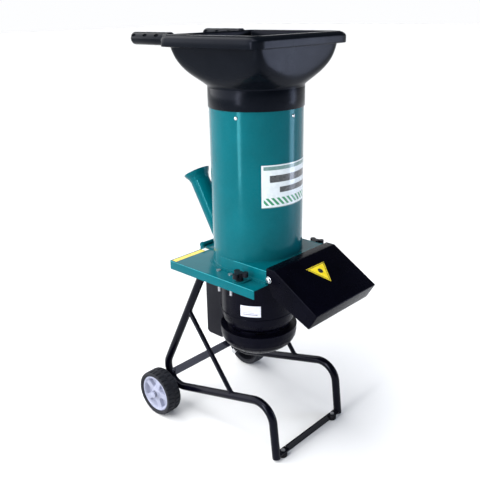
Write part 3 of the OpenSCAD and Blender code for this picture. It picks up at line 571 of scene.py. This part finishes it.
def build_tyre(side):
    """A tyre with rounded walls, a middle groove and blocks on both shoulders."""
    place, width = wheel_frame(side)
    columns = 420
    low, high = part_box("tyre_right")
    grow = (high.x - low.x) / 2 - DRAWN_TYRE_R
    half = [(SEAT_R, 0.0040), (0.0625, 0.0022), (0.0655, 0.0010), (0.0680, 0.0012), (0.0702, 0.0028),
            (0.0716, 0.0055), (0.0719, 0.0058), (0.0725, 0.0085), (0.0727, 0.0130), (0.0729, 0.0180),
            (DRAWN_TYRE_R, 0.0235)]
    groove = [(0.0706, 0.0240), (0.0706, width / 2), (0.0706, width - 0.0240)]
    rings = []
    for r, z in half + groove + [(r, width - z) for r, z in reversed(half)]:
        share = min(1.0, 0.67 + max(0.0, r - SEAT_R) / 0.03)
        ring = []
        for k in range(columns):
            turn = k / columns
            cut = r - tread_depth(r, z, width, turn) + grow * share
            ring.append(place @ Vector((cut * math.cos(TAU * turn), cut * math.sin(TAU * turn), z)))
        rings.append(ring)
    bm = bmesh.new()
    loft(bm, rings)
    bmesh.ops.recalc_face_normals(bm, faces=bm.faces)
    tag = side_name(side)
    obj = new_object("tyre_%s_look" % tag, bm, MAT["tyre"], 28)
    return finish_piece(obj, "wheel_" + tag, "tyre_rubber", "tyre_" + tag)


def hub_height(r, a, top):
    """Outer surface of the hub above its inner face, at a radius and an angle."""
    r *= DRAWN_HUB_R / HUB_R
    from_spoke = abs(((a / TAU * SPOKES + 0.5) % 1.0) - 0.5) * TAU / SPOKES * r
    t = min(max(min(r - WINDOW_IN, WINDOW_OUT - r, from_spoke - SPOKE_HALF) / SLOPE, 0.0), 1.0)
    window = t * t * (3 - 2 * t)
    rim = min(max((r - 0.050) / SLOPE, 0.0), 1.0)
    boss = min(max((0.018 - r) / 0.003, 0.0), 1.0)
    lip = max(0.0, (r - 0.0575) / 0.0023)
    return top - 0.0065 + 0.0045 * rim + 0.0045 * boss - 0.0022 * lip - 0.012 * window


def build_hub(side):
    """A dished rim with five spokes, a raised boss and windows between the spokes."""
    place, width = wheel_frame(side)
    rows, columns = 26, 300
    back_z = 0.032      # the faces behind this height are made black
    rings = []
    for i in range(rows + 1):
        r = HUB_BORE + (HUB_R - HUB_BORE) * i / rows
        turns = [TAU * k / columns for k in range(columns)]
        rings.append([place @ Vector((r * math.cos(a), r * math.sin(a), hub_height(r, a, width - 0.003)))
                      for a in turns])
    for r, z in ((HUB_R, 0.005), (0.0595, 0.004), (0.0575, 0.005), (0.0570, 0.030), (0.0170, 0.030),
                 (0.0150, 0.028), (0.0140, 0.004), (0.0130, 0.001), (HUB_BORE, 0.001)):
        rings.append(circle(place, r, z, columns))
    bm = bmesh.new()
    loft(bm, rings)
    bmesh.ops.recalc_face_normals(bm, faces=bm.faces)
    tag = side_name(side)
    obj = new_object("wheel_hub_%s_look" % tag, bm, MAT["hub"], 50)
    obj.data.materials.append(MAT["black"])
    inward = place.inverted()
    for poly in obj.data.polygons:
        if (inward @ poly.center).z < back_z:
            poly.material_index = 1
    return finish_piece(obj, "wheel_" + tag, "hub_plastic", "wheel_hub_" + tag)


# ---------------------------------------------------------------- welds and small fittings
FRAME_Y = 0.157                         # middle planes of the two side frames
TUBE_SKIN, BRACE_SKIN = 0.0129, 0.0078  # radii that the beads run at, just proud of the tubes
PIPE_SKIN = 0.0313
PIPE_LEAN = math.radians(30.5)
TOWER_SEAM_Z, DUCT_SEAM_Z = 0.5617, 0.5945
MOTOR_SKIN = 0.1160
PIVOT_X, PIVOT_Z = 0.1665, 0.5724       # the deflector's pivot
BEAD_SIDES = 8


def bead(bm, points, radius, closed=True, ripple=0.22):
    """A rippled weld bead along the points."""
    n = len(points)
    rows = []
    for i, p in enumerate(points):
        a = points[(i - 1) % n] if closed or i > 0 else points[i]
        b = points[(i + 1) % n] if closed or i < n - 1 else points[i]
        along = (b - a).normalized()
        e1 = along.cross(Vector((0.13, 0.31, 0.94))).normalized()
        e2 = along.cross(e1)
        r = radius * (1 + ripple * math.sin(i * 2.1) + 0.12 * math.sin(i * 0.73 + 1.3))
        if not closed and i in (0, n - 1):
            r *= 0.35
        turns = [TAU * k / BEAD_SIDES for k in range(BEAD_SIDES)]
        rows.append([bm.verts.new(p + (e1 * math.cos(t) + e2 * math.sin(t)) * r) for t in turns])
    for a, b in zip(rows, rows[1:]):
        bridge(bm, a, b)
    if closed:
        a, b = rows[-1], rows[0]
        shift = min(range(BEAD_SIDES), key=lambda m: (a[0].co - b[m].co).length)
        bridge(bm, a, b[shift:] + b[:shift])
    else:
        bm.faces.new(rows[0])
        bm.faces.new(list(reversed(rows[-1])))


def saddle(point, along, r, other, other_dir, big, sign, count):
    """Where a bar of radius r meets a round tube of radius big; sign picks the side."""
    along, other_dir = Vector(along).normalized(), Vector(other_dir).normalized()
    e1 = along.cross(Vector((0.2, 0.9, 0.1))).normalized()
    e2 = along.cross(e1)
    out = []
    flat = along - other_dir * along.dot(other_dir)
    for k in range(count):
        p = Vector(point) + (e1 * math.cos(TAU * k / count) + e2 * math.sin(TAU * k / count)) * r
        d = p - Vector(other)
        d -= other_dir * d.dot(other_dir)
        a, b, c = flat.dot(flat), 2 * flat.dot(d), d.dot(d) - big * big
        root = b * b - 4 * a * c
        if root < 0:
            continue
        out.append(p + along * ((-b + sign * math.sqrt(root)) / (2 * a)))
    return out


def frame_welds():
    """Beads at the ends of the braces, the crossbar and the front bar."""
    bm = bmesh.new()
    heel = Vector((-0.329, 0, 0.0515))
    leg_top, low_end = Vector((-0.076, 0, 0.5433)), Vector((0.1875, 0, 0.1924))
    upper, lower = Vector((-0.1567, 0, 0.387)), Vector((0.0292, 0, 0.1492))
    brace = (lower - upper).normalized()
    for y in (-FRAME_Y, FRAME_Y):
        for end, tube, sign in ((upper, leg_top - heel, 1), (lower, low_end - heel, -1)):
            at = end + Vector((0, y, 0))
            bead(bm, saddle(at, brace, BRACE_SKIN, at, tube, TUBE_SKIN, sign, 40), 0.0014)
        inner = y - math.copysign(0.0126, y)
        for x in (-0.2617, -0.2563):
            bead(bm, [Vector((x, inner, 0.101 + 0.028 * k / 14)) for k in range(15)], 0.0013, closed=False)
        bead(bm, [Vector((0.1975 + 0.018 * k / 10, inner, 0.0184)) for k in range(11)], 0.0012, closed=False)
    finish_piece(new_object("frame_welds", bm, MAT["frame"], 60), "base", "frame_paint")


def tower_arc(start, sweep, z):
    """Points round the tower just outside its wall, from a start angle in degrees."""
    r = TOWER_R + 0.0008
    turns = [math.radians(start + sweep * k / 150) for k in range(151)]
    return [Vector((r * math.cos(a), r * math.sin(a), z)) for a in turns]


def housing_welds():
    """Beads round the branch pipe, the tower's foot and the duct's edges."""
    bm = bmesh.new()
    axis = Vector((-math.sin(PIPE_LEAN), 0, math.cos(PIPE_LEAN)))
    foot = Vector((-0.127, 0, 0.558))
    ring = saddle(foot, axis, PIPE_SKIN, (0, 0, 0), (0, 0, 1), TOWER_R + 0.0003, 1, 120)
    ring = [p for p in ring if p.z > 0.562]
    ring.sort(key=lambda p: math.atan2(p.y, p.z - 0.575))
    bead(bm, ring, 0.0016, closed=False)
    bead(bm, tower_arc(98, 164, TOWER_SEAM_Z), 0.0015, closed=False)
    bead(bm, tower_arc(-84, 168, DUCT_SEAM_Z), 0.0013, closed=False)
    for side in (-1, 1):
        line = [Vector((-0.018 + 0.172 * k / 90, side * 0.1391, TOWER_SEAM_Z + 0.0001)) for k in range(91)]
        bead(bm, line, 0.0012, closed=False)
    finish_piece(new_object("housing_welds", bm, MAT["teal"], 60), "tower", "teal_paint")


def painted_fold_highlights():
    """Lighter beads along every fold of the painted sheet: a painted highlight."""
    low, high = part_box("deck")
    duct_low, duct_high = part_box("outlet_duct")
    duct_start = 0.030
    folds = {
        "base": [((low.x, low.y, high.z), (high.x, low.y, high.z)),
                 ((low.x, high.y, high.z), (high.x, high.y, high.z)),
                 ((low.x, low.y, high.z), (low.x, high.y, high.z))],
        "tower": [((duct_start, y, duct_high.z), (duct_high.x, y, duct_high.z))
                  for y in (duct_low.y, duct_high.y)],
    }
    for body, lines in folds.items():
        bm = bmesh.new()
        for start, end in lines:
            points = [Vector(start).lerp(Vector(end), k / 60) for k in range(61)]
            bead(bm, points, 0.0008, closed=False, ripple=0.05)
        finish_piece(new_object("fold_highlight_beads_" + body, bm, MAT["teal_fold_highlight"], 60), body, "teal_paint")


def dome(bm, place, r, h, count=28):
    """A pan head with a shallow hollow in its middle, pointing along local +Z."""
    profile = [(0, h * 0.62), (r * 0.30, h * 0.60), (r * 0.36, h * 0.98), (r * 0.55, h * 0.92),
               (r * 0.78, h * 0.74), (r * 0.94, h * 0.42), (r, h * 0.1), (r, 0), (0, 0)]
    lathe(bm, profile, count, place)


def hex_head(bm, place, r, h):
    """A chamfered hexagon head along local +Z."""
    profile = [(r, 0), (r, h * 0.78), (r * 0.86, h)]
    rows = loft(bm, [circle(place, radius, z, 6) for radius, z in profile], closed=False)
    bm.faces.new(rows[-1])
    bm.faces.new(list(reversed(rows[0])))


def motor_trim():
    """The ribs round the motor cover and the rolled lip of the fan cover."""
    bm = bmesh.new()
    low_rib = [(MOTOR_SKIN, 0.3925), (0.1176, 0.3928), (0.1180, 0.3936), (0.1180, 0.3952), (0.1176, 0.3960),
               (MOTOR_SKIN, 0.3963)]
    top_rib = [(MOTOR_SKIN, 0.5480), (0.1174, 0.5484), (0.1176, 0.5500), (0.1174, 0.5548),
               (MOTOR_SKIN, 0.5552)]
    turns = [TAU * k / 12 for k in range(12)]
    lip = [(0.1199 + 0.0017 * math.cos(a), 0.3362 + 0.0017 * math.sin(a)) for a in turns]
    for profile in (low_rib, top_rib, lip):
        lathe(bm, profile, 160, closed=True)
    finish_piece(new_object("motor_trim", bm, MAT["cover"], 45), "base", "cover_paint")


def zinc_piece(name, bm, body, *replaced):
    """Plated screws or bolts, finished as one piece."""
    bmesh.ops.recalc_face_normals(bm, faces=bm.faces)
    finish_piece(new_object(name, bm, MAT["zinc"], 35), body, "zinc", *replaced)


def tower_screws():
    """Five pan-head screws through the tower's wall into the hopper's neck."""
    bm = bmesh.new()
    for k in range(5):
        turn = TAU * k / 5
        place = (Matrix.Rotation(turn, 4, "Z") @ Matrix.Translation((TOWER_R + 0.0001, 0, 1.003))
                 @ Matrix.Rotation(math.pi / 2, 4, "Y"))
        dome(bm, place, 0.0050, 0.0030)
        lathe(bm, [(0, -0.006), (0.0024, -0.006), (0.0024, 0.0), (0, 0.0)], 16, place)
    zinc_piece("tower_screws_look", bm, "tower", "tower_screws")


def box_screws():
    """Six small screws that hold the switch box's cover."""
    bm = bmesh.new()
    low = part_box("box_cover")[0]
    for y in (-0.053, 0.053):
        for z in (low.z + 0.010, low.z + 0.125, 0.518):
            place = Matrix.Translation((low.x - 0.0001, y, z)) @ Matrix.Rotation(-math.pi / 2, 4, "Y")
            dome(bm, place, 0.0036, 0.0020, 20)
    zinc_piece("box_screws", bm, "base")


def pivot_place(side, y):
    """A frame on the deflector's pivot, its Z pointing outwards."""
    turn = Matrix.Rotation(-side * math.pi / 2, 4, "X")
    return Matrix.Translation((PIVOT_X, side * y, PIVOT_Z)) @ turn


def deflector_bolts():
    """On each side a washer, a domed head, a nut inside and the shank between them."""
    washer = [(0, 0), (0.0098, 0), (0.0100, 0.0003), (0.0100, 0.0014), (0.0096, 0.0017), (0, 0.0017)]
    head = [(0, 0.0044), (0.0030, 0.0042), (0.0056, 0.0034), (0.0071, 0.0018), (0.0074, 0.0), (0, 0)]
    shank = [(0, 0), (0.0037, 0), (0.0037, 0.014), (0, 0.014)]
    bm = bmesh.new()
    for side in (-1, 1):
        lathe(bm, washer, 40, pivot_place(side, 0.1413))
        lathe(bm, head, 40, pivot_place(side, 0.1430))
        hex_head(bm, pivot_place(side, 0.1301), 0.0075, 0.0069)
        lathe(bm, shank, 24, pivot_place(side, 0.1290))
    zinc_piece("deflector_bolts_look", bm, "deflector_body", "deflector_bolts")


# ---------------------------------------------------------------- printed films
FILM_ROUGH = 0.25
INK = (0.030, 0.035, 0.040)
GREY_GREEN = (0.10, 0.20, 0.19)
WARNING_BLACK = (0.03, 0.03, 0.025)
STRIP_LINE = (0.30, 0.22, 0.05)
# The warning triangle on the deflector's slope: its corners, the slope's top, and its run per length
TRIANGLE = [(-0.041, -0.045), (0.024, -0.001), (-0.041, 0.036)]
SLOPE_TOP, SLOPE_RUN = 0.1855, 0.8540


class Film(Graph):
    """A printed film: a ground colour with flat-coloured areas given by masks."""

    def __init__(self, name, ground):
        super().__init__(name)
        self.tone = self.ramp(self.noise(30, 4), [(0.3, shade(ground, 0.95)), (0.7, ground)])

    def inside(self, value, low, high):
        above = self.math("GREATER_THAN", value, low)
        below = self.math("LESS_THAN", value, high)
        return self.math("MULTIPLY", above, below)

    def area(self, color, *masks):
        total = masks[0]
        for m in masks[1:]:
            total = self.math("MULTIPLY", total, m)
        self.tone = self.mix(total, self.tone, color)

    def arc(self, radius):
        """Length along a cylinder of this radius, from its +X side."""
        return self.math("MULTIPLY", self.math("ARCTAN2", self.axis("Y"), self.axis("X")), radius)

    def done(self):
        fade = self.ramp(self.noise(140, 6, 0.7), [(0.5, 0.0), (0.85, 0.10)])
        tone = self.mix(fade, self.tone, (0.45, 0.45, 0.43))
        gloss = self.ramp(self.noise(60, 5), [(0.3, FILM_ROUGH * 0.8), (0.7, FILM_ROUGH * 1.4)])
        self.shader(Base_Color=tone, Roughness=gloss, Coat_Weight=0.3)
        self.bump(self.noise(90, 3), 0.05, 0.0004)
        return self.mat


def tower_film():
    """Plain bars and stripes stand where the real film is printed."""
    g = Film("label_print", (0.60, 0.66, 0.69))
    z = g.axis("Z")
    arc = g.arc(TOWER_R + 0.0002)
    across = g.inside(arc, -0.0955, 0.0955)
    g.area(GREY_GREEN, across, g.inside(z, 0.8610, 0.8715))
    g.area(INK, g.inside(arc, -0.078, 0.070), g.inside(z, 0.8260, 0.8460))
    g.area(INK, g.inside(arc, -0.048, 0.078), g.inside(z, 0.7960, 0.8120))
    slanted = g.math("ADD", arc, g.math("MULTIPLY", z, 0.9))
    stripes = g.math("FRACT", g.math("MULTIPLY", slanted, 62.0))
    g.area((0.010, 0.20, 0.085), g.inside(z, 0.7610, 0.7820), across, g.math("LESS_THAN", stripes, 0.55))
    g.area(GREY_GREEN, g.inside(z, 0.7530, 0.7552))
    return g.done()


def triangle_film():
    """Yellow ground, dark edge and one plain dot."""
    g = Film("sticker_print", (0.90, 0.70, 0.02))
    x, y = g.axis("X"), g.axis("Y")
    u = g.math("DIVIDE", g.math("SUBTRACT", x, SLOPE_TOP + 0.078 * SLOPE_RUN), SLOPE_RUN)
    v = g.math("SUBTRACT", y, 0.006)
    for (ax, ay), (bx, by) in zip(TRIANGLE, TRIANGLE[1:] + TRIANGLE[:1]):
        length = math.hypot(bx - ax, by - ay)
        nx, ny = -(by - ay) / length, (bx - ax) / length
        dist = g.math("ADD", g.math("MULTIPLY", g.math("SUBTRACT", u, ax), nx),
                      g.math("MULTIPLY", g.math("SUBTRACT", v, ay), ny))
        g.area(WARNING_BLACK, g.inside(dist, 0.0022, 0.0042))
    du = g.math("POWER", g.math("ADD", u, 0.019), 2.0)
    dv = g.math("POWER", g.math("ADD", v, 0.003), 2.0)
    g.area(WARNING_BLACK, g.math("LESS_THAN", g.math("ADD", du, dv), 0.0085 ** 2))
    return g.done()


def strip_film():
    """A yellow strip with a pale end and two thin lines."""
    g = Film("strip_print", (0.83, 0.60, 0.07))
    y = g.axis("Y")
    g.area((0.82, 0.82, 0.80), g.math("GREATER_THAN", y, -0.070))
    g.area(STRIP_LINE, g.inside(y, -0.0715, -0.070))
    g.area(STRIP_LINE, g.inside(y, -0.0545, -0.053))
    return g.done()


def rating_film():
    """A pale plate with three plain lines."""
    g = Film("rating_print", (0.62, 0.64, 0.74))
    z = g.axis("Z")
    arc = g.arc(0.117)
    for low, high, right in ((0.4140, 0.4175, -0.101), (0.4205, 0.4222, -0.112), (0.4255, 0.4268, -0.118)):
        g.area((0.25, 0.25, 0.30), g.inside(z, low, high), g.inside(arc, -0.146, right))
    return g.done()


# ---------------------------------------------------------------- build
put(MAT["teal"], "tower_tube", "branch_pipe", "hinge_pin", "tower_flange", "hinge_bracket")
put(MAT["frame"], "side_frame_right", "side_frame_left", "braces", "front_bar", "axle_brackets")
put(MAT["bar"], "rear_crossbar")
put(MAT["zinc"], "stub_axles", "tower_screws", "knob_stud_right", "knob_stud_left", "deflector_bolts")
put(MAT["bolt"], "foot_bolts", "deck_bolts", "clamp_nuts", "motor_bolts")
put(MAT["rubber"], "rubber_feet")
put(MAT["black"], "cooling_fan", "leg_plugs")
put(MAT["hub"], "axle_caps")
put(MAT["rotor"], "rotor_disc", "rotor_bolt", "motor_shaft", "bearings", "paddles")
put(MAT["blade"], "counter_blade", "knife_bar")
put(MAT["iron"], "rotor_core")
put(MAT["copper"], "stator")
put(MAT["cast"], "motor_flange", "motor_frame", "end_shield")
put(MAT["cover"], "motor_cover", "fan_cover")
put(MAT["can"], "capacitor")
put(tower_film(), "tower_label")
put(rating_film(), "motor_label")
put(triangle_film(), "warning_label")
put(strip_film(), "deck_label")

# The deflector's folded outline in (x, z), and half its width
SHEET = [(0.157, 0.604), (SLOPE_TOP, 0.604), (0.334, 0.5135), (0.3065, 0.4675)]
SHEET_HALF = 0.141
bevelled("deck", "base", "teal_paint", MAT["teal"], 0.003, 4, outer_edges(skip_bottom=True))
bevelled("outlet_duct", "tower", "teal_paint", MAT["teal"], 0.0012, 3, outer_edges(skip_bottom=True))
bevelled("deflector", "deflector_body", "deflector_paint", MAT["deflector"], 0.0028, 4,
         fold_edges(SHEET, SHEET_HALF))
bevelled("switch_box", "base", "black_plastic", MAT["black"], 0.006, 4, outer_edges(skip_top=True))
bevelled("box_cover", "base", "black_plastic", MAT["black"], 0.0012, 2)
bevelled("switch_body", "base", "black_plastic", MAT["black"], 0.0008, 2)
bevelled("power_inlet", "base", "black_plastic", MAT["black"], 0.0008, 2)
bevelled("star_knob_right", "clamp_right", "black_plastic", MAT["black"], 0.0028, 4)
bevelled("star_knob_left", "clamp_left", "black_plastic", MAT["black"], 0.0028, 4)
bevelled("button_start", "start", "green_button", MAT["green"], 0.0014, 3)
bevelled("button_stop", "stop", "red_button", MAT["red"], 0.0014, 3)
build_hopper()
build_grips()
tower_screws()
box_screws()
deflector_bolts()
frame_welds()
housing_welds()
motor_trim()
painted_fold_highlights()
for wheel_side in (-1, 1):
    build_tyre(wheel_side)
    build_hub(wheel_side)


# ---------------------------------------------------------------- studio
FLOOR_HALF = 40
SUN_POWER, SUN_ANGLE, SUN_DIRECTION = 7.2, 105, (0.70, 0.68, -0.62)
AIM = Vector((0, 0, 0.65))
WHITE, BLUISH = (1, 1, 1), (0.72, 0.80, 1.0)
# Name, place, width and height, power, colour
LAMPS = [("key", (0.02, -2.75, 1.10), (0.32, 2.1), 44, WHITE),
         ("fill", (2.0, 2.05, 0.95), (0.8, 1.8), 42, BLUISH),
         ("top", (0.5, -0.9, 3.0), (1.4, 0.8), 20, WHITE),
         ("back", (-1.75, 1.95, 1.60), (1.8, 0.9), 5, WHITE)]


def sky():
    """A sky that is bright only near the horizon."""
    world = bpy.data.worlds.new("studio")
    world.use_nodes = True
    tree = world.node_tree
    coord = tree.nodes.new("ShaderNodeTexCoord")
    split = tree.nodes.new("ShaderNodeSeparateXYZ")
    ramp = tree.nodes.new("ShaderNodeValToRGB")
    horizon, above = ramp.color_ramp.elements
    horizon.position, horizon.color = 0.06, (0.985, 0.99, 1.0, 1)
    above.position, above.color = 0.27, (0.10, 0.11, 0.13, 1)
    back = tree.nodes["Background"]
    tree.links.new(coord.outputs["Generated"], split.inputs[0])
    tree.links.new(split.outputs["Z"], ramp.inputs["Fac"])
    tree.links.new(ramp.outputs["Color"], back.inputs["Color"])
    back.inputs["Strength"].default_value = 1.0
    return world


def pale_floor():
    """A wide floor of one plain pale tone with the faintest mottling."""
    mesh = bpy.data.meshes.new("floor")
    s = FLOOR_HALF
    mesh.from_pydata([(-s, -s, 0), (s, -s, 0), (s, s, 0), (-s, s, 0)], [], [(0, 1, 2, 3)])
    g = Graph("floor_white")
    tone = g.ramp(g.noise(0.8, 3), [(0.3, (0.73, 0.733, 0.736)), (0.7, (0.75, 0.753, 0.756))])
    g.shader(Base_Color=tone, Roughness=0.8, Specular_IOR_Level=0.2)
    mesh.materials.append(g.mat)
    obj = bpy.data.objects.new("floor", mesh)
    bpy.context.scene.collection.objects.link(obj)


def lamp_object(name, data, direction):
    """A lamp that shines along the direction."""
    lamp = bpy.data.objects.new(name, data)
    lamp.rotation_euler = Vector(direction).to_track_quat("-Z", "Y").to_euler()
    bpy.context.scene.collection.objects.link(lamp)
    return lamp


def studio():
    """Pale floor, sky and soft lamps."""
    scene = bpy.context.scene
    scene.view_settings.view_transform = "Standard"
    scene.world = sky()
    pale_floor()
    sun = bpy.data.lights.new("sun", "SUN")
    sun.energy = SUN_POWER
    sun.angle = math.radians(SUN_ANGLE)
    lamp_object("sun", sun, SUN_DIRECTION)
    for name, where, (width, height), power, color in LAMPS:
        data = bpy.data.lights.new(name, "AREA")
        data.shape = "RECTANGLE"
        data.size, data.size_y = width, height
        data.energy = power
        data.color = color
        lamp_object(name, data, AIM - Vector(where)).location = where


# ---------------------------------------------------------------- camera
CAMERA_AT = (1.24428, -1.38152, 1.28270)
CAMERA_TURN, CAMERA_DOWN, CAMERA_ROLL = (math.radians(a) for a in (43.677, 19.796, -1.195))
SENSOR_WIDTH, LENS = 36, 48.492


def camera():
    """Placed at the photograph's angle: azimuth, pitch down and a small roll."""
    level = math.cos(CAMERA_DOWN)
    back = Vector((math.sin(CAMERA_TURN) * level, -math.cos(CAMERA_TURN) * level, math.sin(CAMERA_DOWN)))
    right = (-back).cross(Vector((0, 0, 1))).normalized()
    up = right.cross(-back)
    cos, sin = math.cos(CAMERA_ROLL), math.sin(CAMERA_ROLL)
    data = bpy.data.cameras.new("camera")
    data.sensor_width = SENSOR_WIDTH
    data.lens = LENS
    obj = bpy.data.objects.new("camera", data)
    turn = Matrix((right * cos + up * sin, up * cos - right * sin, back)).transposed().to_4x4()
    obj.matrix_world = Matrix.Translation(CAMERA_AT) @ turn
    bpy.context.scene.collection.objects.link(obj)
    bpy.context.scene.camera = obj


studio()
camera()
